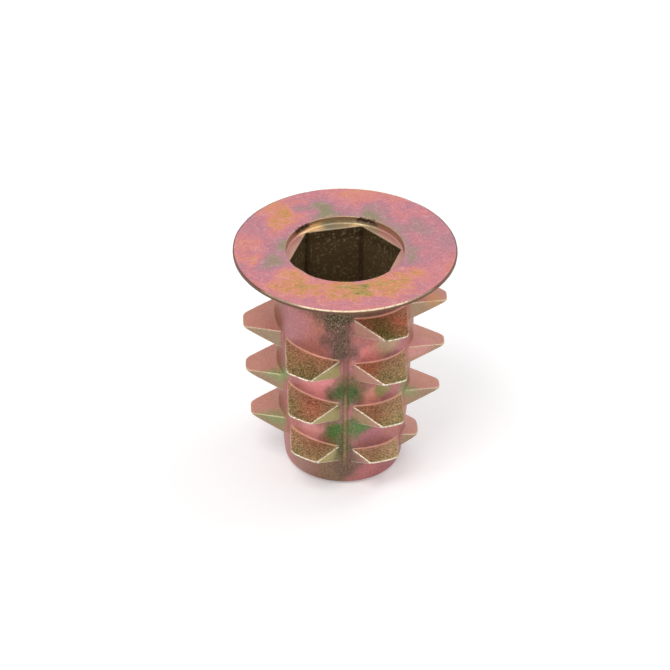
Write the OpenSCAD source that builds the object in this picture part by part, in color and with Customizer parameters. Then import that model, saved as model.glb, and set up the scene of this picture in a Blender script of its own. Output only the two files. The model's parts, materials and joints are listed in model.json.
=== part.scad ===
/* [Flange] */
// Outside diameter of the flange
flange_d = 13.6; // [12.6:0.1:18]
// Thickness of the flange at its rim
rim_t = 0.25; // [0.2:0.05:0.8]
// Slope of the underside of the flange, in degrees from level
underside_slope = 20; // [8:1:28]
// Radius of the fillet between the underside and the core
underside_fillet = 0.35; // [0.1:0.05:0.5]

/* [Core] */
// Overall length, from the top of the flange to the end face
total_l = 15; // [12:0.5:30]
// Thickness of the core outside the corners of the hex socket
socket_wall = 0.74; // [0.6:0.02:1.2]
// Width of the flat ring round the mouth of the bore at the end face
end_land = 0.2; // [0.1:0.02:0.6]
// Share of the core's narrowing that falls in the end taper
end_taper_share = 0.53; // [0.3:0.01:0.8]
// Depth at which the straight part ends, from the top of the flange
straight_depth = 5.2; // [3:0.1:7]
// Length of the end taper
end_taper_l = 3.3; // [1.5:0.1:5]
// Radius of the rounding round the end face
end_round = 0.5; // [0.1:0.05:0.6]

/* [Drive and bore] */
// Size of the hex socket across its flats
hex_af = 6.04; // [5.2:0.02:7.2]
// Depth of the hex socket, from the top of the flange
hex_depth = 6; // [4:0.5:9]
// Turn of the hex socket about the axis, in degrees
hex_turn = 11; // [0:1:59]
// Reach of the shallow round recess past the corners of the socket
recess_margin = 0.11; // [0.02:0.01:0.4]
// Depth of the round recess
recess_depth = 0.5; // [0.2:0.05:1]
// Diameter of the bore that carries the machine thread
bore_d = 5; // [4:0.1:5.2]
// Width of the countersink at the lower end of the bore
bore_chamfer = 0.4; // [0.2:0.05:0.6]

/* [Outer thread] */
// Axial distance from one turn of the rib to the next
pitch = 3.25; // [2.6:0.05:4.5]
// Diameter over the crests at the flange end of the thread
crest_top_d = 12.5; // [11.5:0.1:14]
// Loss of that diameter by the place where the thread begins to run out
crest_drop = 1.16; // [0:0.02:1.4]
// Distance from the root of the flange's underside to the crest at the front notch
thread_start_gap = 1.51; // [1.3:0.01:3]
// Thickness of the rib where it leaves the core
rib_base = 1.2; // [0.8:0.05:1.6]
// Part of that thickness that lies above the crest
rib_base_above = 0.5; // [0.3:0.05:0.7]
// Width of the land along the crest
crest_land = 0.08; // [0.04:0.01:0.2]
// Least distance from the crest of the last lobe to the end face
thread_end_gap = 1.7; // [1.5:0.1:6]
// Number of lower lobes at the end, over which the thread runs out
runout_lobes = 3; // [1:1:3]
// Share of the rib's height that the last lobe has lost
runout_loss = 0.5; // [0.2:0.01:0.7]

/* [Lobes] */
// Half width of the notch at the die's parting line, in degrees at the core
notch_half = 4.5; // [2:0.5:8]
// Direction of a lobe's face at that notch, in degrees from the parting plane
notch_face_turn = 50; // [45:1:60]
// Where the opposite face of that lobe leaves the core, in degrees from the notch
outer_half = 61; // [50:1:63]
// Half width of a side lobe where it leaves the core, in degrees
side_half = 25; // [18:1:27]
// Turn of each face of a side lobe from the lobe's own direction, in degrees
side_face_turn = 26; // [15:1:27]
// Radius of a lobe's crest corner beside the notch
notch_corner_r = 0.3; // [0.1:0.05:0.5]
// Radius of that lobe's other crest corner
outer_corner_r = 0.8; // [0.1:0.05:1]
// Radius of both crest corners of a side lobe
side_corner_r = 0.65; // [0.1:0.05:0.8]

/* [Hidden] */

$fn = 96;
flange_r = flange_d / 2;
hex_corner_r = hex_af / sqrt(3);
recess_r = hex_corner_r + recess_margin;
core_r = hex_corner_r + socket_wall;
bore_r = bore_d / 2;
core_end_r = bore_r + bore_chamfer + end_land + end_round;
core_low_r = core_end_r + end_taper_share * (core_r - core_end_r);
underside_depth = rim_t + (flange_r - core_r) * tan(underside_slope);
first_crest = underside_depth + thread_start_gap;
past = 1;               // how far a cutting tool runs past the surface it cuts
rib_root = 0.3;         // how deep a lobe is rooted in the wall of the core
arc_steps = 6;          // straight steps in a rounded edge
corner_steps = 4;       // straight steps in a lobe's rounded corner
corner_swing = 0.076;   // share of its radius by which that corner swings past the crest
lobe_sector = 90;       // angle of the ring that a lobe is cut from
front_lobe_az = 33;     // direction of the middle of the lobe beside a notch
low_depth = total_l - end_taper_l - end_round;

// Directions are degrees from the front, which is -Y, towards +X. Depths run
// down from the top of the flange.
function at(r, az) = [r * sin(az), -r * cos(az)];

// Middle directions of the six lobes of one turn
lobe_az = [
    front_lobe_az, 90, 180 - front_lobe_az,
    180 + front_lobe_az, 270, 360 - front_lobe_az
];
lobes_per_turn = len(lobe_az);

// Depth of the crest of lobe k, counted from the flange
function lobe_depth(k) =
    first_crest + pitch * (floor(k / lobes_per_turn) + lobe_az[k % lobes_per_turn] / 360);

most_turns = ceil(total_l / pitch);
lobes = len([
    for (k = [0:most_turns * lobes_per_turn])
        if (lobe_depth(k) <= total_l - thread_end_gap) k
]);
full_lobes = lobes - runout_lobes;
low_crest = lobe_depth(full_lobes);

// Radius of the core at a depth
function core_at(depth) = lookup(depth, [
    [straight_depth, core_r],
    [low_depth, core_low_r],
    [total_l - end_round, core_end_r]
]);

// The crests lie on a barrel, full near the flange and falling away below it
function crest_at(depth) =
    (crest_top_d - crest_drop * pow((depth - first_crest) / (low_crest - first_crest), 2)) / 2;

// Share of the full rib that is left at lobe k
function runout(k) = k < full_lobes ? 1 : 1 - runout_loss * (k - full_lobes + 1) / runout_lobes;

// Half outline of the core and flange, as distance from the axis and height
function body_outline() =
    let (
        top = total_l,
        rim_low = top - rim_t,
        centre_r = core_r + underside_fillet,
        touch_r = centre_r - underside_fillet * sin(underside_slope),
        touch_z = rim_low - (flange_r - touch_r) * tan(underside_slope),
        centre_z = touch_z - underside_fillet * cos(underside_slope)
    )
    concat(
        [[0, 0]],
        [for (i = [0:arc_steps]) let (a = -90 + 90 * i / arc_steps)
            [core_end_r - end_round + end_round * cos(a), end_round + end_round * sin(a)]],
        [
            [core_low_r, top - low_depth],
            [core_r, top - straight_depth]
        ],
        [for (i = [0:arc_steps]) let (a = 180 - (90 - underside_slope) * i / arc_steps)
            [centre_r + underside_fillet * cos(a), centre_z + underside_fillet * sin(a)]],
        [[flange_r, rim_low], [flange_r, top], [0, top]]
    );

// Plan of all that lies inward of one face of a lobe, with the rounded corner
// between that face and the crest. The face leaves the core at root_pt in direction
// face_az, and side is -1 or 1 for the lobe's first or second face. The face runs
// straight on into the wall of the core.
module half_plan(root_pt, face_az, side, crest_r, corner_r) {
    outward_az = face_az + 90 * side;
    outward = at(1, outward_az);
    along = at(1, face_az);
    inset = outward * root_pt - corner_r;
    centre_r = crest_r - (1 - corner_swing) * corner_r;
    reach = sqrt(centre_r * centre_r - inset * inset);
    centre = inset * outward + reach * along;
    crest_az = atan2(centre[0], -centre[1]);
    corner = [
        for (i = [0:corner_steps])
            centre + at(corner_r, outward_az + (crest_az - outward_az) * i / corner_steps)
    ];
    inside = root_pt - rib_root * along;
    outside = at(crest_r + past, crest_az);
    far = outside + crest_r * along;
    across = 2 * crest_r * outward;
    polygon(concat([inside], corner, [outside, far, far - across, inside - across]));
}

// Plan of the lobe beside the front notch, on the +X side. Its outer face runs
// straight to the front, the way that the die opens.
module front_lobe(wall_r, crest_r) {
    intersection() {
        half_plan(at(wall_r, notch_half), notch_face_turn, -1, crest_r, notch_corner_r);
        half_plan(at(wall_r, outer_half), 0, 1, crest_r, outer_corner_r);
    }
}

// Plan of the lobe at the +X side
module side_lobe(wall_r, crest_r) {
    intersection() {
        half_plan(at(wall_r, 90 - side_half), 90 + side_face_turn, -1, crest_r, side_corner_r);
        half_plan(at(wall_r, 90 + side_half), 90 - side_face_turn, 1, crest_r, side_corner_r);
    }
}

// Plan of the lobe at each of the six places of a turn
module lobe_plan(place, wall_r, crest_r) {
    if (place == 0) front_lobe(wall_r, crest_r);
    if (place == 1) side_lobe(wall_r, crest_r);
    if (place == 2) mirror([0, 1]) front_lobe(wall_r, crest_r);
    if (place == 3) rotate(180) front_lobe(wall_r, crest_r);
    if (place == 4) rotate(180) side_lobe(wall_r, crest_r);
    if (place == 5) mirror([1, 0]) front_lobe(wall_r, crest_r);
}

// Knife-edged ring round the axis, with its crest at height 0
module knife_ring(wall_r, crest_r, base) {
    above = base * rib_base_above / rib_base;
    below = base - above;
    land = crest_land / 2;
    inward = rib_root / (crest_r - wall_r);
    rotate([0, 0, -90 - lobe_sector / 2])
        rotate_extrude(angle = lobe_sector)
            polygon([
                [wall_r - rib_root, above + (above - land) * inward],
                [crest_r, land],
                [crest_r, -land],
                [wall_r - rib_root, -below - (below - land) * inward]
            ]);
}

// Lobe k of the thread, counted from the flange. The helix is followed by
// tipping each lobe's ring about the lobe's own direction.
module lobe(k) {
    place = k % lobes_per_turn;
    depth = lobe_depth(k);
    share = runout(k);
    wall_r = core_at(depth);
    crest_r = wall_r + (crest_at(depth) - wall_r) * share;
    base = rib_base * (1 + share) / 2;
    lead_angle = atan(pitch / (PI * (wall_r + crest_r)));
    translate([0, 0, total_l - depth])
        intersection() {
            rotate([0, 0, lobe_az[place]])
                rotate([0, lead_angle, 0])
                    knife_ring(wall_r, crest_r, base);
            translate([0, 0, -pitch / 2])
                linear_extrude(pitch)
                    lobe_plan(place, wall_r, crest_r);
        }
}

// Hex socket with its round recess, and the bore below it
module drive_and_bore() {
    translate([0, 0, total_l - recess_depth])
        cylinder(r = recess_r, h = recess_depth + past);
    translate([0, 0, total_l - hex_depth])
        rotate([0, 0, hex_turn])
            cylinder(r = hex_corner_r, h = hex_depth + past, $fn = 6);
    translate([0, 0, -past])
        cylinder(d = bore_d, h = total_l);
    translate([0, 0, -past])
        cylinder(r1 = bore_r + bore_chamfer + past, r2 = bore_r, h = bore_chamfer + past);
}

module insert_body() {
    color("goldenrod")
        difference() {
            union() {
                rotate_extrude() polygon(body_outline());
                for (k = [0:lobes - 1]) lobe(k);
            }
            drive_and_bore();
        }
}

insert_body();
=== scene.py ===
import json
import math
import time
from types import SimpleNamespace
import bpy
import numpy
from mathutils import Euler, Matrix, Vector

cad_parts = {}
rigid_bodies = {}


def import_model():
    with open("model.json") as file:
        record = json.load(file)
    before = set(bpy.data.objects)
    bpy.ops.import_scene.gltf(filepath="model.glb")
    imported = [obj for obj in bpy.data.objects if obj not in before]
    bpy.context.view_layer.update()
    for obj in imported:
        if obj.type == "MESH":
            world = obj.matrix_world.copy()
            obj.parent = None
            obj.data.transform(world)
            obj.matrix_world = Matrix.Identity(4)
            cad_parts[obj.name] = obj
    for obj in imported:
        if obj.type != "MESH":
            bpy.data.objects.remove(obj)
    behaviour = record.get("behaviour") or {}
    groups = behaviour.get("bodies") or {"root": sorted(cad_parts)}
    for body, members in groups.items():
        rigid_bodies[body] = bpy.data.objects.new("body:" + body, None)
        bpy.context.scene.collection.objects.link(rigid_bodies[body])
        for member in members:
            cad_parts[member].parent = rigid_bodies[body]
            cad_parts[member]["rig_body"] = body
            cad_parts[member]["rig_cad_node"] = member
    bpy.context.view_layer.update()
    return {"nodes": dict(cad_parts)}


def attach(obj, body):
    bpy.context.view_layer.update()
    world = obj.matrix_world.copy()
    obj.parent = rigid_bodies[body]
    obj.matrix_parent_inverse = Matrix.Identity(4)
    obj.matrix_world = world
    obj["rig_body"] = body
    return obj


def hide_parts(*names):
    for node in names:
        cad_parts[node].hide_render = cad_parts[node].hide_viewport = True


started = time.time()
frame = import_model()
millimetre = 0.001


def report(stage):
    print(f"{time.time() - started:6.1f} s  {stage}")


def deselectAll():
    if bpy.context.object and bpy.context.object.mode != "OBJECT":
        bpy.ops.object.mode_set(mode="OBJECT")
    bpy.ops.object.select_all(action="DESELECT")


def makeActive(piece):
    deselectAll()
    piece.select_set(True)
    bpy.context.view_layer.objects.active = piece


def applyModifier(piece, kind, **settings):
    makeActive(piece)
    modifier = piece.modifiers.new(kind.title(), kind)
    for name, value in settings.items():
        setattr(modifier, name, value)
    bpy.ops.object.modifier_apply(modifier=modifier.name)


def makeGroup(piece, name, chosen):
    # Puts the chosen vertices in a vertex group
    makeActive(piece)
    bpy.ops.object.mode_set(mode="EDIT")
    bpy.ops.mesh.select_all(action="DESELECT")
    bpy.ops.object.mode_set(mode="OBJECT")
    piece.data.vertices.foreach_set("select", chosen)
    bpy.ops.object.mode_set(mode="EDIT")
    group = piece.vertex_groups.new(name=name)
    piece.vertex_groups.active_index = group.index
    bpy.ops.object.vertex_group_assign()
    bpy.ops.object.mode_set(mode="OBJECT")


# The casting is one piece of die-cast zinc, worked on in millimetres
casting = {
    "mergeDistance": 0.0001,
    "voxel": 0.045,           # grid on which sharp edges and corners are rounded off
    "smoothing": 0.5,         # how strongly one step smooths
    "smoothSteps": 2,
    "edgeSteps": 8,           # how far round an edge its wear and its painted highlight lines reach
    "wallRadius": 3.4,        # the outer wall lies beyond this distance from the axis
    "flangeLow": 13.9,        # and below this height
    "rootLevel": -0.0015,     # edge measure below which a corner is filled to a soft fillet
    "rootSteps": 16,
    "rootRadius": 3.8,
    "rootsFrom": 1.5,
    "seamPlace": -0.05,       # raised line where the die's halves met
    "seamHalfWidth": 0.14,
    "seamHeight": 0.05,
    "seamFrom": 1.3,
    "chipSize": 0.18,         # broken stretches of the mouth's edge
    "chipDepth": 0.16,
    "chipLevel": 0.72,
    "chipReach": 3.76,
    "chipLow": 14.72,
    "waveSize": 1.6,          # slow unevenness of the cast surface
    "waveHeight": 0.03,
    "grainSize": 0.12,        # coarse grain left by the die on the front and back lobes
    "grainHeight": 0.03,
    "grainFacing": 0.6,       # least upward part of the normal
    "grainRadius": 4.2,
    "grainAside": 1.8,        # least distance in front of or behind the axis
    "grainTop": 13.4,
    "triangles": 190000,
}
# Where the back of the mouth's edge is chipped, from one side distance to the other
chips = [(-2.95, -2.1), (0.9, 1.95)]
tap = {
    "majorRadius": 3.0,       # M6 x 1 internal thread
    "innerRadius": 2.3,
    "pitch": 1.0,
    "crestWidth": 0.125,
    "mouthWidth": 0.93,
    "stepsPerTurn": 64,
    "start": -1.5,
    "turns": 12,
}


def threadCutter():
    # The groove of the tapped thread: a flat tooth outline, wound up the bore and capped
    middle = (tap["majorRadius"] + tap["innerRadius"]) / 2
    deselectAll()
    bpy.ops.mesh.primitive_plane_add(size=1)
    cutter = bpy.context.object
    bpy.ops.object.mode_set(mode="EDIT")
    bpy.ops.transform.rotate(value=math.pi / 2, orient_axis="X", center_override=(0, 0, 0))
    bpy.ops.transform.resize(value=(tap["majorRadius"] - tap["innerRadius"], 1, tap["mouthWidth"]))
    bpy.ops.transform.translate(value=(middle, 0, tap["start"]))
    bpy.ops.object.mode_set(mode="OBJECT")
    for vertex in cutter.data.vertices:
        vertex.select = vertex.co.x > middle
    for edge in cutter.data.edges:
        edge.select = all(cutter.data.vertices[i].select for i in edge.vertices)
    for face in cutter.data.polygons:
        face.select = False
    bpy.ops.object.mode_set(mode="EDIT")
    bpy.ops.transform.resize(value=(1, 1, tap["crestWidth"] / tap["mouthWidth"]))
    bpy.ops.mesh.select_all(action="SELECT")
    bpy.ops.mesh.delete(type="ONLY_FACE")
    bpy.ops.object.mode_set(mode="OBJECT")
    applyModifier(
        cutter, "SCREW", axis="Z", angle=2 * math.pi, screw_offset=tap["pitch"],
        iterations=tap["turns"], steps=tap["stepsPerTurn"], render_steps=tap["stepsPerTurn"],
    )
    bpy.ops.object.mode_set(mode="EDIT")
    bpy.ops.mesh.select_all(action="SELECT")
    bpy.ops.mesh.remove_doubles(threshold=casting["mergeDistance"])
    bpy.ops.mesh.fill_holes(sides=0)
    bpy.ops.mesh.normals_make_consistent(inside=False)
    bpy.ops.object.mode_set(mode="OBJECT")
    return cutter


def vertexRows(piece, kind):
    # The place or the normal of every vertex, one row each
    rows = numpy.empty(len(piece.data.vertices) * 3)
    piece.data.vertices.foreach_get(kind, rows)
    return rows.reshape(-1, 3)


def smooth(piece, steps, group=""):
    applyModifier(piece, "SMOOTH", vertex_group=group, factor=casting["smoothing"], iterations=steps)


def measureEdges(piece):
    # How far more smoothing would draw a vertex in: above 0 on an edge, below 0 in a corner
    sharp, outward = vertexRows(piece, "co"), vertexRows(piece, "normal")
    softened = piece.copy()
    softened.data = piece.data.copy()
    bpy.context.scene.collection.objects.link(softened)
    smooth(softened, casting["edgeSteps"])
    drawnIn = ((sharp - vertexRows(softened, "co")) * outward).sum(axis=1)
    bpy.data.objects.remove(softened)
    edge = piece.data.attributes.new("edge", "FLOAT", "POINT")
    edge.data.foreach_set("value", drawnIn)
    return drawnIn


def copyBody():
    # A merged copy of the CAD body, in millimetres
    node = frame["nodes"]["insert_body"]
    deselectAll()
    piece = node.copy()
    piece.data = node.data.copy()
    piece.parent = None
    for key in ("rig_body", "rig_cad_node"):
        del piece[key]
    piece.name = "casting"
    bpy.context.scene.collection.objects.link(piece)
    makeActive(piece)
    piece.scale = [1 / millimetre] * 3
    bpy.ops.object.transform_apply(location=False, rotation=False, scale=True)
    bpy.ops.object.mode_set(mode="EDIT")
    bpy.ops.mesh.select_all(action="SELECT")
    bpy.ops.mesh.remove_doubles(threshold=casting["mergeDistance"])
    bpy.ops.mesh.normals_make_consistent(inside=False)
    bpy.ops.object.mode_set(mode="OBJECT")
    return piece


def cloudTexture(name, size):
    texture = bpy.data.textures.new(name, "CLOUDS")
    texture.noise_scale = size
    return texture


def makeCasting():
    piece = copyBody()
    cutter = threadCutter()
    applyModifier(piece, "BOOLEAN", operation="DIFFERENCE", object=cutter, solver="EXACT")
    bpy.data.objects.remove(cutter)
    report("bore tapped")

    applyModifier(piece, "REMESH", mode="VOXEL", voxel_size=casting["voxel"])
    smooth(piece, casting["smoothSteps"])
    drawnIn = measureEdges(piece)
    report("edges rounded off and measured")

    x, y, z = vertexRows(piece, "co").T
    radius = numpy.hypot(x, y)
    outerWall = (radius > casting["wallRadius"]) & (z < casting["flangeLow"])
    inCorner = (radius > casting["rootRadius"]) & (drawnIn < casting["rootLevel"])
    makeGroup(piece, "roots", outerWall & inCorner & (z > casting["rootsFrom"]))
    smooth(piece, casting["rootSteps"], "roots")
    onSeam = numpy.abs(x - casting["seamPlace"]) < casting["seamHalfWidth"]
    makeGroup(piece, "seam", outerWall & onSeam & (z > casting["seamFrom"]))
    applyModifier(piece, "DISPLACE", vertex_group="seam", strength=casting["seamHeight"], mid_level=0)
    facingUp = vertexRows(piece, "normal")[:, 2] > casting["grainFacing"]
    onLobe = (radius > casting["grainRadius"]) & (z < casting["grainTop"])
    makeGroup(piece, "grain", facingUp & onLobe & (numpy.abs(y) > casting["grainAside"]))
    atMouth = (radius > casting["wallRadius"]) & (radius < casting["chipReach"]) & (y > 0)
    chipped = numpy.any([(x > start) & (x < end) for start, end in chips], axis=0)
    makeGroup(piece, "chips", atMouth & (z > casting["chipLow"]) & chipped)
    breaks = cloudTexture("castingChips", casting["chipSize"])
    applyModifier(
        piece, "DISPLACE", texture=breaks, vertex_group="chips",
        strength=casting["chipDepth"], mid_level=casting["chipLevel"],
    )
    waves = cloudTexture("castingWaves", casting["waveSize"])
    applyModifier(piece, "DISPLACE", texture=waves, strength=casting["waveHeight"])
    grain = cloudTexture("castingGrain", casting["grainSize"])
    applyModifier(piece, "DISPLACE", texture=grain, vertex_group="grain", strength=casting["grainHeight"])
    report("seam, chips and grain shaped")

    budget = casting["triangles"] / 2 / len(piece.data.polygons)
    applyModifier(piece, "DECIMATE", ratio=budget)
    piece.vertex_groups.clear()
    piece.scale = [millimetre] * 3
    bpy.ops.object.transform_apply(location=False, rotation=False, scale=True)
    bpy.ops.object.shade_smooth()
    report(f"casting finished, {len(piece.data.polygons)} faces")
    return piece


class Value:
    # One output of a shader node, used in plain arithmetic
    def __init__(self, finish, socket):
        self.finish = finish
        self.socket = socket

    def output(self, name):
        return Value(self.finish, self.socket.node.outputs[name])

    def __add__(self, other):
        return self.finish.maths("ADD", self, other)

    def __sub__(self, other):
        return self.finish.maths("SUBTRACT", self, other)

    def __rsub__(self, other):
        return self.finish.maths("SUBTRACT", other, self)

    def __mul__(self, other):
        return self.finish.maths("MULTIPLY", self, other)

    def __truediv__(self, other):
        return self.finish.maths("DIVIDE", self, other)

    def __abs__(self):
        return self.finish.maths("ABSOLUTE", self)

    __radd__ = __add__
    __rmul__ = __mul__

    def scaled(self, low, high):
        # Turns 0 to 1 into low to high
        return low + (high - low) * self

    def squareRoot(self):
        return self.finish.maths("SQRT", self)

    def least(self, other):
        return self.finish.maths("MINIMUM", self, other)

    def most(self, other):
        return self.finish.maths("MAXIMUM", self, other)

    def between(self, low, high):
        # 0 below low, 1 above high, smooth in between; high may be the smaller one
        return self.finish.node(
            "ShaderNodeMapRange", {"interpolation_type": "SMOOTHSTEP"},
            {"Value": self, "From Min": low, "From Max": high},
        )


class Finish:
    # The nodes of a material or a world
    def __init__(self, owner):
        owner.use_nodes = True
        self.tree = owner.node_tree
        self.tree.nodes.clear()

    def node(self, kind, settings, sockets, output=0):
        made = self.tree.nodes.new(kind)
        for name, setting in settings.items():
            if name == "stops":
                self.setStops(made.color_ramp, setting)
            else:
                setattr(made, name, setting)
        for name, value in sockets.items():
            if isinstance(value, Value):
                self.tree.links.new(value.socket, made.inputs[name])
            else:
                made.inputs[name].default_value = value
        return Value(self, made.outputs[output] if made.outputs else None)

    def setStops(self, ramp, stops):
        while len(ramp.elements) > 1:
            ramp.elements.remove(ramp.elements[0])
        for index, (position, colour) in enumerate(stops):
            element = ramp.elements[0] if index == 0 else ramp.elements.new(position)
            element.position = position
            element.color = colour

    def maths(self, operation, *operands):
        return self.node("ShaderNodeMath", {"operation": operation}, dict(enumerate(operands)))

    def vectorMaths(self, operation, *operands, output=0, **named):
        sockets = {**dict(enumerate(operands)), **named}
        return self.node("ShaderNodeVectorMath", {"operation": operation}, sockets, output)

    def distance(self, first, second):
        return self.vectorMaths("DISTANCE", first, second, output="Value")

    def axes(self, vector):
        parts = self.node("ShaderNodeSeparateXYZ", {}, {0: vector})
        return parts.output("X"), parts.output("Y"), parts.output("Z")

    def noise(self, place, scale, detail, roughness=0.5, stretch=None):
        if stretch:
            place = self.vectorMaths("MULTIPLY", place, stretch)
        sockets = {"Vector": place, "Scale": scale, "Detail": detail, "Roughness": roughness}
        return self.node("ShaderNodeTexNoise", {}, sockets)

    def pushed(self, place, scale, detail, reach):
        # The place, pushed about by up to reach
        push = self.noise(place, scale, detail).output("Color")
        moved = self.vectorMaths("MULTIPLY_ADD", push, (2 * reach,) * 3, place)
        return self.vectorMaths("SUBTRACT", moved, (reach,) * 3)

    def ramp(self, factor, stops):
        return self.node("ShaderNodeValToRGB", {"stops": stops}, {0: factor})

    def mixColour(self, factor, first, second, blend="MIX"):
        settings = {"data_type": "RGBA", "blend_type": blend}
        return self.node("ShaderNodeMix", settings, {0: factor, 6: first, 7: second}, output=2)

    def principled(self, sockets):
        surface = self.node("ShaderNodeBsdfPrincipled", {}, sockets)
        self.node("ShaderNodeOutputMaterial", {}, {"Surface": surface})


def linear(red, green, blue):
    # A colour given as 0 to 255 on the screen, as the shader wants it
    def channel(value):
        value /= 255
        return value / 12.92 if value <= 0.04045 else ((value + 0.055) / 1.055) ** 2.4
    return (channel(red), channel(green), channel(blue), 1)


plating = {
    "filmColours": [          # from a thin film to a thick one
        (0.00, linear(104, 118, 66)),
        (0.09, linear(176, 158, 88)),
        (0.20, linear(210, 146, 90)),
        (0.32, linear(224, 148, 116)),
        (0.44, linear(222, 138, 136)),
        (0.55, linear(212, 132, 146)),
        (0.68, linear(192, 130, 148)),
        (0.80, linear(176, 138, 140)),
        (0.90, linear(156, 140, 118)),
        (1.00, linear(148, 142, 116)),
    ],
    "film": 0.53,
    "filmDrift": 0.60,        # slow change of the film over the part
    "filmMottle": 0.52,
    "filmAtMouth": 0.16,      # thicker behind the mouth of the socket
    "filmLight": linear(240, 206, 196),
    "filmDark": linear(140, 104, 98),
    "lightStreaks": 0.3,
    "darkStreaks": 0.26,
    # painted shade: darkens the colour everywhere below the flange
    "paintedShadeBelowFlange": linear(222, 216, 208),
    "flankColours": [         # front and back lobes, from the core to the crest
        (0.00, linear(206, 164, 134)),
        (0.35, linear(196, 164, 120)),
        (0.70, linear(164, 148, 92)),
        (1.00, linear(92, 104, 46)),
    ],
    "flankDepth": 2.0,        # from the core to the crest
    "flankMottle": 1.8,
    "leftFace": linear(172, 170, 110),
    "rightFace": linear(190, 142, 128),
    "sideTop": linear(212, 152, 130),
    "sideFace": linear(158, 146, 112),
    # painted shade: a brown band on the core's sides between the side lobes
    "corner": linear(160, 104, 74),
    # painted highlight along the filled roots of the front and back lobes
    "rootHighlight": linear(236, 184, 146),
    # seam: painted highlight along the lower part of the raised seam
    "seam": linear(160, 142, 96),
    "seamSide": linear(104, 74, 58),
    # edge lines: wear, with painted highlight lines along crests and edges, dimmer on the flange and at the
    # mouth
    "wornEdgeHighlight": linear(254, 250, 226),
    "sideEdgeHighlight": linear(226, 212, 176),
    "dullEdge": linear(168, 152, 118),
    # the flange's rim: a painted highlight where it is lit, painted shade on the rest
    "rim": linear(240, 222, 186),
    "rimShade": linear(98, 76, 56),
    # painted shadow of the flange on the core, just under the rim
    "shadeUnderRim": linear(112, 84, 66),
    "recessWall": linear(190, 150, 108),
    "ledgeBack": linear(178, 162, 126),
    "ledgeSide": linear(196, 146, 132),
    "chipped": linear(70, 46, 32),
    "socket": linear(118, 96, 64),
    "socketSpeck": linear(204, 188, 148),
    # painted shade in the corners of the hex socket
    "socketCorner": linear(66, 48, 30),
    # painted shade at the sharpest corners of the front and back lobes, a break in their highlight lines
    "cornerGap": linear(66, 62, 32),
    "grainShade": linear(124, 122, 102),
    # grainLight and grainGlint: painted sparkle and glints on the grain
    "grainLight": linear(240, 222, 160),
    "grainGlint": linear(255, 240, 204),
    "roughness": 0.42,
    "roughMottle": 0.2,
    "roughSpeckle": 0.08,
    "wornSmoother": 0.12,
    "duller": 0.3,            # less metallic below the flange, and again in the hole
    "brushedBump": 0.2,
    "bumpStrength": 0.35,
    "bumpDistance": 0.00008,
}
# Strength of each change of colour
strength = {
    "corner": 0.85,
    "sideTop": 0.6,
    "notchFace": 0.8,
    "sideFace": 0.7,
    "flank": 0.9,
    "seamSide": 0.45,
    "darkGrain": 0.7,
    "glint": 0.8,
    "socketCorner": 0.6,
    "recess": 0.85,
    "chipped": 0.8,
    "rim": 0.9,
    "wearAndHighlight": 0.92,
    "rootHighlight": 0.45,
    "cornerGap": 0.8,
}
# What a mask's 0 and 1 stand for
spans = {
    "shadeUnderRim": (0.4, 0.8),
    "grainy": (0.3, 1.0),
    "sparkling": (0.08, 0.34),
    "seam": (0.3, 0.8),
    "speckled": (0.5, 1.0),
    "litRim": (0.35, 1.0),
    "brokenRim": (0.5, 1.0),
    "scuffed": (0.3, 1.0),
    "outerEdge": (1.0, 0.15),
}
# How patches and stains spread, in shares of their reach, and how much sparkle their grain has
spread = {
    "patch": 1.5,
    "stain": 1.1,
    "stainCore": 0.25,
    "flankStain": 1.2,
    "flankStainCore": 0.2,
    "sparkle": 0.12,
    "ledgeStainCore": 0.3,
}
# How far noise makes an outline wander, in millimetres
ragged = {
    "film": 2.0,
    "ledge": 1.5,
    "chipEdge": 0.2,
    "chipEnd": 1.2,
}
# Noise of several sizes, in waves in a millimetre
noises = {
    "drift": {"scale": 0.35, "detail": 2},
    "mottle": {"scale": 1.6, "detail": 5, "roughness": 0.6},
    "streaks": {"scale": 1.5, "detail": 6, "roughness": 0.7, "stretch": (0.8, 2.4, 2.4)},
    "grain": {"scale": 10.0, "detail": 5, "roughness": 0.85},
    "specks": {"scale": 5.0, "detail": 4, "roughness": 0.7},
    "brushed": {"scale": 1.4, "detail": 4, "roughness": 0.6, "stretch": (1.0, 9.0, 4.0)},
}
warping = {
    "stains": {"scale": 0.9, "detail": 2, "reach": 0.8},
    "film": {"scale": 0.8, "detail": 4, "reach": 1.5},
}
fineNoise = {"scale": 2.2, "detail": 5, "roughness": 0.75, "stretch": (1.0, 1.6, 1.6)}
# Radius of the core: at height 0, and its growth with height, in each of its two cones
core = {
    "endCone": (3.55, 0.10),
    "middleCone": (3.74, 0.05),
    "topRadius": 4.23,
    "boreRadius": 3.08,
    "socketWider": 0.54,
}
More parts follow.
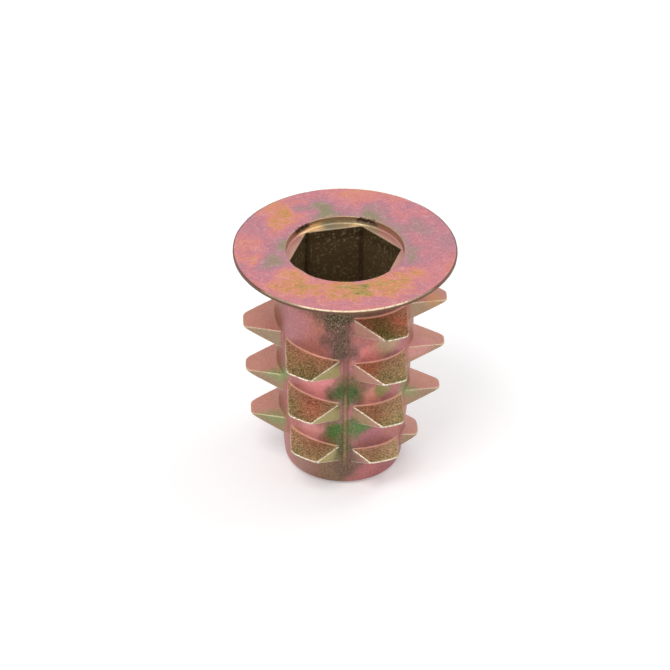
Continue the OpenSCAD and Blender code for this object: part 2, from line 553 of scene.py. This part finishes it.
# Each pair is where something begins and where it is full, in millimetres
heights = {
    "belowFlange": (13.9, 13.4),
    "shadeUnderRim": (12.2, 13.0),
    "inSocket": (7.5, 8.0),
    "clearOfEnd": (0.08, 0.35),
    "belowLedge": (14.46, 14.40),
    "recessWall": (14.72, 14.82),
    "chipped": (14.6, 14.7),
    "litRim": (14.89, 14.96),
    "speckled": (12.4, 14.2),
    "seamTop": (10.2, 9.4),
    "seamEnd": (1.2, 2.2),
    "seamLit": (7.4, 6.6),
}
distances = {
    "offCore": (0.03, 0.12),      # outwards from the core
    "inHole": (0.02, -0.02),      # outwards from the wall of the hole
    "atMouth": (4.6, 3.7),        # from the axis
    "socketCorner": (3.34, 3.46),
    "chipped": (3.74, 3.66),
    "rim": (6.68, 6.76),
    "frontOrBack": (1.72, 1.86),  # in front of the axis or behind it
    "litRim": (4.2, 5.4),
    "behind": (-0.5, 0.5),        # behind the axis only
    "atMouthBack": (-1.5, 0.5),
    "underRimFront": (-1, -3),
    "sideways": (3.6, 4.1),       # to either side of the axis
    "ledgeSide": (1.8, 2.4),
    "chipEnd": (-0.15, 0.1),      # from the end of a chip
    "seamSide": (0.26, 0.14),     # from the seam
    "seam": (0.12, 0.05),
}
facings = {
    "up": (0.5, 0.8),             # parts of the normal
    "upright": (0.6, 0.3),
    "toSide": (0.3, 0.55),
    "rootHighlight": (0.1, 0.3),
    "outward": (0.3, 0.9),
    "notToFront": (0.5, 0.25),
}
edges = {
    "wearAndHighlight": (0.0032, 0.0095),     # the measured edge attribute
    "cornerGap": (0.0108, 0.0122),
    "root": (-0.001, -0.005),
}
levels = {
    "lightStreaks": (0.5, 0.68),  # values of the noises
    "darkStreaks": (0.5, 0.34),
    "speckle": (0.4, 0.6),
    "socketSpeck": (0.52, 0.66),
    "glint": (0.56, 0.66),
    "litRim": (0.58, 0.48),
    "brokenRim": (0.4, 0.5),
    "scuffed": (0.35, 0.6),
    "seamStreaks": (0.4, 0.6),
}

# Places where the film runs thinner or thicker, in millimetres: middle, reach, change of film
filmPatches = {
    "goldBackLeft": ((-3.5, 4.1, 15.0), 1.5, -0.40),
    "redBack": ((0.6, 5.4, 15.0), 1.3, -0.10),
    "greyBack": ((-1.5, 4.6, 15.0), 1.2, 0.34),
    "greyBackRight": ((1.9, 4.0, 15.0), 1.2, 0.34),
    "greyRimBack": ((4.4, 4.6, 15.0), 1.0, 0.18),
    "violetRight": ((4.4, 2.2, 15.0), 1.4, 0.22),
    "magentaRight": ((5.2, -0.6, 15.0), 1.4, 0.06),
    "greyRight": ((6.4, 1.1, 15.0), 0.9, 0.10),
    "greyRightFront": ((4.0, -1.0, 15.0), 0.9, 0.22),
    "violetLeft": ((-5.1, 2.3, 15.0), 1.4, 0.22),
    "greyLeft": ((-3.9, 0.6, 15.0), 1.0, 0.26),
    "orangeLeft": ((-5.9, -1.1, 15.0), 0.9, -0.20),
    "greenLeft": ((-4.2, -1.4, 15.0), 1.1, 0.36),
    "goldFrontLeft": ((-3.0, -3.6, 15.0), 1.4, -0.32),
    "greenFrontLeft": ((-2.7, -3.9, 15.0), 0.7, -0.02),
    "goldFront": ((-0.9, -4.7, 15.0), 1.1, -0.32),
    "greenFront": ((0.6, -4.6, 15.0), 1.0, -0.46),
    "goldFrontRight": ((2.5, -4.1, 15.0), 1.4, -0.44),
    "orangeRight": ((3.9, -3.1, 15.0), 1.0, -0.26),
    "pinkFront": ((-1.2, -6.1, 15.0), 1.8, 0.08),
    "pinkFrontRight": ((2.2, -5.8, 15.0), 1.2, 0.10),
}

# Stains on the core and lobes, with painted shade and painted reflection among them: middle, reach, colour,
# strength, grain
stains = {
    "upperViolet": ((-3.2, -2.8, 11.5), 1.8, linear(186, 122, 132), 0.6, 0.0),
    # rimDarkness, upperDark, middleDark and lowerDark: painted dark reflection and painted shadow of the
    # flange on the front of the core
    "rimDarkness": ((-0.4, -4.1, 13.3), 1.2, linear(42, 27, 23), 1.0, 0.3),
    "upperDark": ((-0.75, -4.1, 12.7), 1.45, linear(54, 34, 28), 1.0, 0.6),
    "middleDark": ((-0.5, -4.1, 11.2), 1.3, linear(84, 58, 56), 0.9, 0.3),
    "lowerDark": ((-0.3, -4.1, 10.2), 1.1, linear(84, 60, 58), 0.9, 0.25),
    "upperRightPink": ((1.4, -3.9, 10.1), 1.1, linear(244, 148, 146), 0.8, 0.0),
    "upperRightTan": ((2.5, -3.3, 10.3), 1.2, linear(190, 166, 128), 0.7, 0.0),
    "middleLeftPink": ((-1.9, -3.8, 7.5), 1.4, linear(255, 166, 176), 1.0, 0.0),
    "middleRightPink": ((1.4, -3.8, 6.7), 0.9, linear(250, 172, 164), 0.85, 0.0),
    "middleGreen": ((0.1, -4.1, 7.3), 1.5, linear(56, 88, 42), 1.0, 0.1),
    "rightGreen": ((2.2, -3.4, 7.1), 0.8, linear(150, 162, 88), 0.75, 0.2),
    "lowLeftPink": ((-2.1, -3.4, 3.9), 1.1, linear(250, 172, 178), 0.85, 0.0),
    "lowGreen": ((-0.6, -3.9, 4.2), 1.3, linear(64, 108, 46), 1.0, 0.1),
    "lowGreenRight": ((0.8, -3.9, 4.5), 1.1, linear(76, 128, 68), 0.9, 0.05),
    "lowGreenDown": ((-0.1, -3.9, 3.0), 1.1, linear(74, 92, 52), 0.9, 0.1),
    "endLeft": ((-2.7, -2.5, 1.2), 1.8, linear(164, 132, 120), 0.75, 0.0),
    "rightFace2Tan": ((1.0, -4.6, 5.6), 0.9, linear(172, 150, 112), 0.8, 0.1),
    "lowRightViolet": ((1.8, -3.4, 3.8), 1.0, linear(186, 118, 132), 0.8, 0.0),
    "endOlive": ((-0.9, -3.6, 0.9), 1.9, linear(128, 108, 84), 0.8, 0.1),
    # endDark: painted shade, darker towards the bottom end of the core
    "endDark": ((0.2, -3.7, 1.5), 1.5, linear(108, 84, 74), 0.85, 0.1),
    "endViolet": ((1.4, -3.3, 1.0), 0.9, linear(196, 118, 122), 0.8, 0.0),
    "leftLobeGreen": ((-4.3, -1.9, 7.1), 1.1, linear(120, 176, 96), 0.8, 0.1),
    "leftLowLobeGreen": ((-4.6, -1.6, 3.9), 1.3, linear(134, 164, 100), 0.8, 0.1),
    "rightLobeGreen": ((3.9, -1.9, 6.0), 1.1, linear(140, 162, 104), 0.8, 0.1),
    "rightLobeOrange": ((5.5, -0.6, 12.5), 1.3, linear(226, 160, 98), 0.85, 0.1),
    "rightLobePink": ((4.7, -1.5, 8.7), 1.4, linear(222, 150, 152), 0.75, 0.0),
}

# Stains on the rough flanks of the front lobes: middle, reach, colour, strength
flankStains = {
    "right0Green": ((2.5, -5.0, 12.2), 1.5, linear(66, 122, 26), 1.0),
    "right0Red": ((3.7, -4.2, 12.9), 1.5, linear(244, 150, 114), 0.9),
    "right1Red": ((1.3, -4.4, 9.4), 1.1, linear(206, 116, 88), 0.8),
    "right2Red": ((1.7, -4.5, 6.3), 1.1, linear(180, 112, 84), 0.7),
    "right3Red": ((1.9, -4.3, 3.3), 1.0, linear(174, 110, 84), 0.6),
    "left1Green": ((-2.4, -5.2, 9.6), 1.1, linear(104, 112, 54), 0.6),
    "left2Red": ((-2.3, -4.7, 7.0), 1.2, linear(236, 124, 106), 0.85),
    "left2Green": ((-3.4, -4.4, 6.9), 0.8, linear(120, 122, 64), 0.7),
    "left3Red": ((-2.0, -4.2, 3.8), 0.9, linear(190, 118, 92), 0.6),
}

# Stains on the ledge of the recess: middle, reach, colour, strength
ledgeStains = {
    "gold": ((-2.0, 3.0, 14.6), 1.3, linear(250, 214, 160), 0.9),
    "green": ((-0.7, 3.1, 14.6), 0.8, linear(140, 148, 122), 0.7),
    "cream": ((0.9, 3.3, 14.6), 0.7, linear(232, 206, 160), 0.8),
}


def findPlaces(finish):
    # Where on the part a point is: heights and distances in millimetres, and masks
    objectPlace = finish.node("ShaderNodeTexCoord", {}, {}, output="Object")
    place = finish.vectorMaths("SCALE", objectPlace, Scale=1 / millimetre)
    x, y, z = finish.axes(place)
    radius = (x * x + y * y).squareRoot()
    facing = finish.node("ShaderNodeNewGeometry", {}, {}, output="Normal")
    normalX, normalY, normalZ = finish.axes(facing)
    edge = finish.node("ShaderNodeAttribute", {"attribute_name": "edge"}, {}, output="Fac")

    endRadius, endGrowth = core["endCone"]
    middleRadius, middleGrowth = core["middleCone"]
    coreRadius = (endRadius + endGrowth * z).least(middleRadius + middleGrowth * z).least(core["topRadius"])
    offCore = radius - coreRadius
    belowFlange = z.between(*heights["belowFlange"])
    lobe = offCore.between(*distances["offCore"]) * belowFlange
    frontOrBack = abs(y).between(*distances["frontOrBack"])
    topFlank = normalZ.between(*facings["up"]) * lobe
    holeRadius = core["boreRadius"] + core["socketWider"] * z.between(*heights["inSocket"])
    inHole = (radius - holeRadius).between(*distances["inHole"]) * z.between(*heights["clearOfEnd"])
    inside = inHole * z.between(*heights["belowLedge"])
    return SimpleNamespace(
        place=place, x=x, y=y, z=z, radius=radius,
        normalX=normalX, normalY=normalY, normalZ=normalZ, edge=edge,
        toCrest=offCore / plating["flankDepth"],
        belowFlange=belowFlange, lobe=lobe, frontOrBack=frontOrBack,
        frontFlank=topFlank * frontOrBack,
        sideTop=topFlank * (1 - frontOrBack),
        upright=abs(normalZ).between(*facings["upright"]) * lobe,
        inHole=inHole, inside=inside, recess=inHole * (1 - inside),
        onCore=(1 - lobe) * belowFlange * (1 - inside),
        warped=finish.pushed(place, **warping["stains"]),
        flowing=finish.pushed(place, **warping["film"]),
    )


def makeNoises(finish, here):
    made = {name: finish.noise(here.place, **settings) for name, settings in noises.items()}
    made["fine"] = finish.noise(here.flowing, **fineNoise)
    return SimpleNamespace(**made)


def filmColour(finish, here, noise):
    # The film's thickness gives its colour
    drift, streaks = noise.drift - 0.5, noise.streaks - 0.5
    film = plating["film"] + drift * plating["filmDrift"] + streaks * plating["filmMottle"]
    for middle, reach, change in filmPatches.values():
        gap = finish.distance(here.flowing, middle) + streaks * ragged["film"]
        film = film + gap.between(reach * spread["patch"], 0) * change
    behindMouth = here.radius.between(*distances["atMouth"]) * here.y.between(*distances["atMouthBack"])
    film = film + behindMouth * plating["filmAtMouth"]
    colour = finish.ramp(film, plating["filmColours"])
    light = noise.fine.between(*levels["lightStreaks"]) * plating["lightStreaks"]
    colour = finish.mixColour(light, colour, plating["filmLight"])
    dark = noise.fine.between(*levels["darkStreaks"]) * plating["darkStreaks"]
    return finish.mixColour(dark, colour, plating["filmDark"])


def lobeColours(finish, here, noise, colour):
    # Painted shade below the flange, and each kind of lobe face has its own cast
    colour = finish.mixColour(here.belowFlange, colour, plating["paintedShadeBelowFlange"], "MULTIPLY")
    # Painted shade: a brown band on the core's sides
    corner = abs(here.x).between(*distances["sideways"]) * here.onCore
    notchFace = here.upright * here.frontOrBack
    low, high = facings["toSide"]
    flank = finish.ramp(here.toCrest + (noise.mottle - 0.5) * plating["flankMottle"], plating["flankColours"])
    for middle, reach, stain, amount in flankStains.values():
        gap = finish.distance(here.warped, middle)
        stained = gap.between(reach * spread["flankStain"], reach * spread["flankStainCore"]) * amount
        flank = finish.mixColour(stained, flank, stain)
    for mask, name, cast in (
        (corner, "corner", plating["corner"]),
        (here.sideTop, "sideTop", plating["sideTop"]),
        (notchFace * here.normalX.between(low, high), "notchFace", plating["leftFace"]),
        (notchFace * here.normalX.between(-low, -high), "notchFace", plating["rightFace"]),
        (here.upright * (1 - here.frontOrBack), "sideFace", plating["sideFace"]),
        (here.frontFlank, "flank", flank),
    ):
        colour = finish.mixColour(mask * strength[name], colour, cast)
    # Painted shadow of the flange on the core just under the rim, strongest at the front
    shadeUnderRim = here.y.between(*distances["underRimFront"]).scaled(*spans["shadeUnderRim"])
    shadeUnderRim = here.onCore * here.z.between(*heights["shadeUnderRim"]) * shadeUnderRim
    return finish.mixColour(shadeUnderRim, colour, plating["shadeUnderRim"])


def stainedColour(finish, here, noise, colour):
    # The stains, then the seam, then the grain that they carry, with painted sparkle and glints on the grain
    speckle = noise.grain.between(*levels["speckle"])
    grainy = here.frontFlank.scaled(*spans["grainy"])
    sparkling = here.frontFlank.scaled(*spans["sparkling"])
    for middle, reach, stain, amount, grainAdded in stains.values():
        gap = finish.distance(here.warped, middle)
        stained = gap.between(reach * spread["stain"], reach * spread["stainCore"]) * amount
        stained = stained * (1 - here.frontFlank)
        colour = finish.mixColour(stained, colour, stain)
        grainy = grainy + stained * grainAdded
        sparkling = sparkling + stained * (grainAdded * spread["sparkle"])
    fromSeam = abs(here.x - casting["seamPlace"])
    seamLength = here.z.between(*heights["seamTop"]) * here.z.between(*heights["seamEnd"])
    seamLength = seamLength * here.onCore * here.frontOrBack
    seamSide = fromSeam.between(*distances["seamSide"]) * seamLength * strength["seamSide"]
    colour = finish.mixColour(seamSide, colour, plating["seamSide"])
    # Painted highlight along the lower part of the raised seam
    seam = fromSeam.between(*distances["seam"]) * seamLength * here.z.between(*heights["seamLit"])
    seam = seam * noise.streaks.between(*levels["seamStreaks"]).scaled(*spans["seam"])
    colour = finish.mixColour(seam, colour, plating["seam"])
    dark = (1 - speckle) * grainy * strength["darkGrain"]
    colour = finish.mixColour(dark, colour, plating["grainShade"], "MULTIPLY")
    # Painted sparkle and glints on the grain
    colour = finish.mixColour(speckle * sparkling, colour, plating["grainLight"])
    extraGrain = grainy - spans["grainy"][0]
    glint = noise.grain.between(*levels["glint"]) * extraGrain * strength["glint"]
    colour = finish.mixColour(glint, colour, plating["grainGlint"])
    return colour, speckle, grainy


def holeColour(finish, here, noise, colour):
    # The recess, the chips in its edge, and the socket with the bore
    ledge = abs(here.x).between(*distances["ledgeSide"])
    ledge = finish.mixColour(ledge, plating["ledgeBack"], plating["ledgeSide"])
    for middle, reach, stain, amount in ledgeStains.values():
        gap = finish.distance(here.place, middle) + (noise.mottle - 0.5) * ragged["ledge"]
        ledge = finish.mixColour(gap.between(reach, reach * spread["ledgeStainCore"]) * amount, ledge, stain)
    hollow = finish.mixColour(here.z.between(*heights["recessWall"]), ledge, plating["recessWall"])
    colour = finish.mixColour(here.recess * strength["recess"], colour, hollow)
    mouthEdge = (here.radius + (noise.specks - 0.5) * ragged["chipEdge"]).between(*distances["chipped"])
    mouthEdge = mouthEdge * here.z.between(*heights["chipped"]) * here.y.between(*distances["behind"])
    across = here.x + (noise.mottle - 0.5) * ragged["chipEnd"]
    outer, inner = distances["chipEnd"]
    for start, end in chips:
        chipped = across.between(start + outer, start + inner) * across.between(end - outer, end - inner)
        colour = finish.mixColour(chipped * mouthEdge * strength["chipped"], colour, plating["chipped"])
    specks = here.z.between(*heights["speckled"]).scaled(*spans["speckled"])
    specks = noise.specks.between(*levels["socketSpeck"]) * specks
    socket = finish.mixColour(specks, plating["socket"], plating["socketSpeck"])
    # Painted shade in the corners of the hex socket
    corner = here.radius.between(*distances["socketCorner"]) * strength["socketCorner"]
    socket = finish.mixColour(corner, socket, plating["socketCorner"])
    return finish.mixColour(here.inside, colour, socket)


def wearAndHighlightColour(finish, here, noise, colour):
    # The rim with its painted highlight and shade, the worn edges with painted highlight lines, and a painted
    # highlight along the filled roots
    # The flange's rim: a painted highlight, broken up, over painted shade
    rim = here.radius.between(*distances["rim"])
    litRim = here.z.between(*heights["litRim"]) * abs(here.y).between(*distances["litRim"])
    litRim = litRim * noise.drift.between(*levels["litRim"]).scaled(*spans["litRim"])
    litRim = litRim * noise.specks.between(*levels["brokenRim"]).scaled(*spans["brokenRim"])
    rimColour = finish.mixColour(litRim, plating["rimShade"], plating["rim"])
    colour = finish.mixColour(rim * strength["rim"], colour, rimColour)
    outerEdge = here.lobe * here.frontOrBack * (here.normalX * here.x).between(*facings["outward"])
    outerEdge = outerEdge * abs(here.normalY).between(*facings["notToFront"])
    # Worn edges with painted highlight lines, brightest on the front and back lobes
    wearAndHighlight = here.edge.between(*edges["wearAndHighlight"]) * (1 - here.inside) * (1 - rim)
    wearAndHighlight = wearAndHighlight * noise.brushed.between(*levels["scuffed"]).scaled(*spans["scuffed"])
    wearAndHighlight = wearAndHighlight * outerEdge.scaled(*spans["outerEdge"])
    edgeColour = finish.mixColour(here.frontOrBack, plating["sideEdgeHighlight"], plating["wornEdgeHighlight"])
    edgeColour = finish.mixColour(here.belowFlange, plating["dullEdge"], edgeColour)
    colour = finish.mixColour(wearAndHighlight * strength["wearAndHighlight"], colour, edgeColour)
    # Painted highlight along the filled roots
    rootHighlight = here.edge.between(*edges["root"]) * here.belowFlange * here.frontOrBack
    rootHighlight = rootHighlight * (1 - here.inHole) * here.normalZ.between(*facings["rootHighlight"])
    colour = finish.mixColour(rootHighlight * strength["rootHighlight"], colour, plating["rootHighlight"])
    # Painted shade at the sharpest lobe corners
    cornerGap = here.edge.between(*edges["cornerGap"]) * here.lobe * here.frontOrBack
    colour = finish.mixColour(cornerGap * strength["cornerGap"], colour, plating["cornerGap"])
    return colour, wearAndHighlight


def makePlating():
    material = bpy.data.materials.new("platedZinc")
    finish = Finish(material)
    here = findPlaces(finish)
    noise = makeNoises(finish, here)
    colour = filmColour(finish, here, noise)
    colour = lobeColours(finish, here, noise, colour)
    colour, speckle, grainy = stainedColour(finish, here, noise, colour)
    colour = holeColour(finish, here, noise, colour)
    colour, wearAndHighlight = wearAndHighlightColour(finish, here, noise, colour)
    roughness = plating["roughness"] + (noise.mottle - 0.5) * plating["roughMottle"]
    roughness = roughness + (speckle - 0.5) * plating["roughSpeckle"] - wearAndHighlight * plating["wornSmoother"]
    bump = finish.node("ShaderNodeBump", {}, {
        "Height": noise.grain * grainy + noise.brushed * plating["brushedBump"],
        "Strength": plating["bumpStrength"],
        "Distance": plating["bumpDistance"],
    })
    finish.principled({
        "Base Color": colour,
        "Roughness": roughness,
        "Metallic": 1 - here.belowFlange * plating["duller"] - here.inHole * plating["duller"],
        "Normal": bump,
    })
    return material


studio = {
    "floorSize": 0.8,
    "floorLevel": -0.00003,   # just clear of the uneven end face
    "floorColour": linear(240, 240, 240),
    "floorRoughness": 0.9,
    "floorSpecular": 0.1,
    "floorGlow": 0.26,        # seen by the camera and in reflections only
    "worldColour": (1, 1, 1, 1),
    "worldLevel": 0.66,
    "lampSize": 0.16,
}
lamps = {
    "keyLamp": {"place": (-0.10, -0.16, 0.36), "energy": 0.48},
    "fillLamp": {"place": (0.16, 0.08, 0.34), "energy": 0.18},
}
shot = {
    "target": (0, 0, 0.015),      # middle of the flange's top
    "azimuth": -2.3,
    "elevation": 33.2,
    "roll": 0.6,
    "distance": 0.3,
    "pixelsPerMillimetre": 16.55,
    "imageSize": 670,
    "targetAt": (345.1, 248.6),   # pixel that shows the target
    "sensor": 36,
    "clipStart": 0.03,
}


def isSeenDirectly(finish):
    path = finish.node("ShaderNodeLightPath", {}, {})
    return path.most(path.output("Is Glossy Ray")).most(path.output("Is Transmission Ray"))


def makeFloor():
    deselectAll()
    bpy.ops.mesh.primitive_plane_add(size=studio["floorSize"], location=(0, 0, studio["floorLevel"]))
    floor = bpy.context.object
    floor.name = "floor"
    material = bpy.data.materials.new("paleFloor")
    finish = Finish(material)
    finish.principled({
        "Base Color": studio["floorColour"],
        "Roughness": studio["floorRoughness"],
        "Specular IOR Level": studio["floorSpecular"],
        "Emission Color": isSeenDirectly(finish) * studio["floorGlow"],
        "Emission Strength": 1,
    })
    floor.data.materials.append(material)


def makeLamp(name, place, energy):
    deselectAll()
    bpy.ops.object.light_add(type="AREA", location=place)
    lamp = bpy.context.object
    lamp.name = name
    lamp.data.energy = energy
    lamp.data.size = studio["lampSize"]
    lamp.rotation_euler = (Vector(place) - Vector(shot["target"])).to_track_quat("Z", "Y").to_euler()


def makeWorld():
    world = bpy.data.worlds.new("studioWorld")
    bpy.context.scene.world = world
    finish = Finish(world)
    level = isSeenDirectly(finish).scaled(studio["worldLevel"], 1)
    light = finish.node("ShaderNodeBackground", {}, {"Color": studio["worldColour"], "Strength": level})
    finish.node("ShaderNodeOutputWorld", {}, {"Surface": light})


def makeCamera():
    deselectAll()
    bpy.ops.object.camera_add()
    camera = bpy.context.object
    focal = shot["pixelsPerMillimetre"] * shot["distance"] / millimetre
    camera.data.sensor_width = shot["sensor"]
    camera.data.lens = focal * shot["sensor"] / shot["imageSize"]
    camera.data.clip_start = shot["clipStart"]
    azimuth, elevation = math.radians(shot["azimuth"]), math.radians(shot["elevation"])
    back = Vector((
        math.sin(azimuth) * math.cos(elevation),
        -math.cos(azimuth) * math.cos(elevation),
        math.sin(elevation),
    ))
    across, down = shot["targetAt"]
    aside = (across - shot["imageSize"] / 2) / focal
    above = (shot["imageSize"] / 2 - down) / focal
    aim = back.to_track_quat("Z", "Y")
    turn = Euler((-math.atan(above), math.atan(aside), 0)).to_quaternion()
    roll = Euler((0, 0, math.radians(shot["roll"]))).to_quaternion()
    camera.rotation_mode = "QUATERNION"
    camera.location = Vector(shot["target"]) + back * shot["distance"]
    camera.rotation_quaternion = aim @ roll @ turn
    bpy.context.scene.camera = camera


piece = makeCasting()
piece.data.materials.clear()
piece.data.materials.append(makePlating())
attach(piece, "root")
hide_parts("insert_body")
report("plating made")

makeFloor()
makeWorld()
for name, settings in lamps.items():
    makeLamp(name, **settings)
makeCamera()
bpy.context.scene.view_settings.view_transform = "Standard"
report("studio lit")
